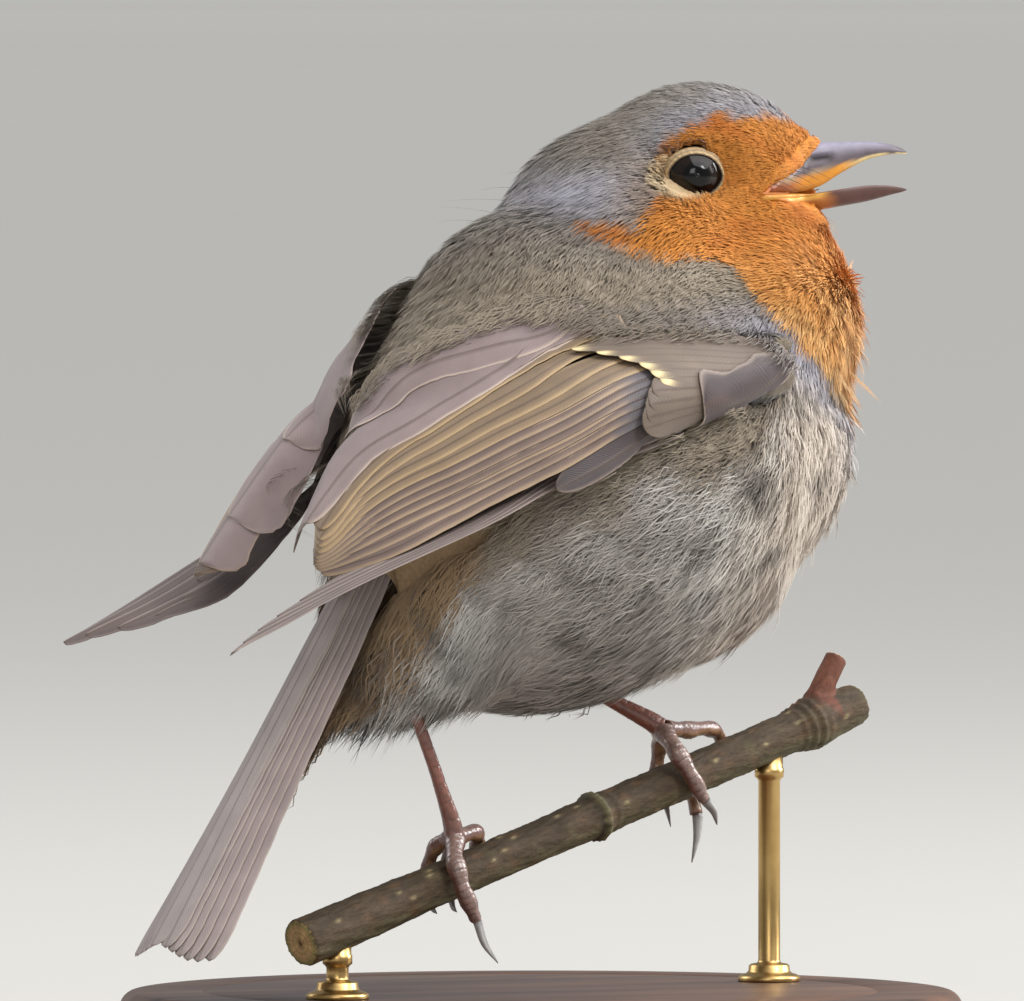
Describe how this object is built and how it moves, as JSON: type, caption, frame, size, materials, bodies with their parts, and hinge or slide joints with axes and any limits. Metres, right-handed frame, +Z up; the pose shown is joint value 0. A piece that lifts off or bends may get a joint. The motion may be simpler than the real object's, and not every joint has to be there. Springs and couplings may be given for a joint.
{
  "type": "european robin display model",
  "caption": "Life-size still model of a fluffed robin with drooped wings and an open bill, gripping a cut twig held by rods over a flat round stand.",
  "frame": {"origin": "centre of the stand base's flat underside", "axes": "+Z up, +X the way the bird's trunk heads, +Y the bird's left side"},
  "size_m": [0.0857, 0.0838, 0.0972],
  "materials": {
    "head_plumage": "soft short feathers, orange face and olive-brown crown",
    "neck_plumage": "soft feathers, orange in front, grey and brown behind",
    "trunk_plumage": "soft body feathers, olive-brown above, whitish below",
    "flight_feathers": "smooth brown vanes with buff edges",
    "bill_horn": "dark horn with a soft shine",
    "claw_horn": "grey horn with a soft shine",
    "eye": "wet black-brown gloss",
    "leg_skin": "reddish-brown scaly skin, slightly glossy",
    "bark": "thin olive-brown bark, matte",
    "stand_wood": "dark stained wood, satin",
    "stand_metal": "satin metal rod"
  },
  "bodies": {
    "root": {"bill_lower": "bill_horn", "bill_upper": "bill_horn", "claw_left_1": "claw_horn", "claw_left_2": "claw_horn", "claw_left_3": "claw_horn", "claw_left_4": "claw_horn", "claw_right_1": "claw_horn", "claw_right_2": "claw_horn", "claw_right_3": "claw_horn", "claw_right_4": "claw_horn", "eye_left": "eye", "eye_right": "eye", "head": "head_plumage", "leg_left": "leg_skin", "leg_right": "leg_skin", "neck": "neck_plumage", "perch": "bark", "stand_base": "stand_wood", "stand_rod_front": "stand_metal", "stand_rod_rear": "stand_metal", "tail": "flight_feathers", "trunk": "trunk_plumage", "wing_left": "flight_feathers", "wing_left_alula": "flight_feathers", "wing_left_primaries": "flight_feathers", "wing_right": "flight_feathers", "wing_right_alula": "flight_feathers", "wing_right_primaries": "flight_feathers"}
  },
  "joints": []
}
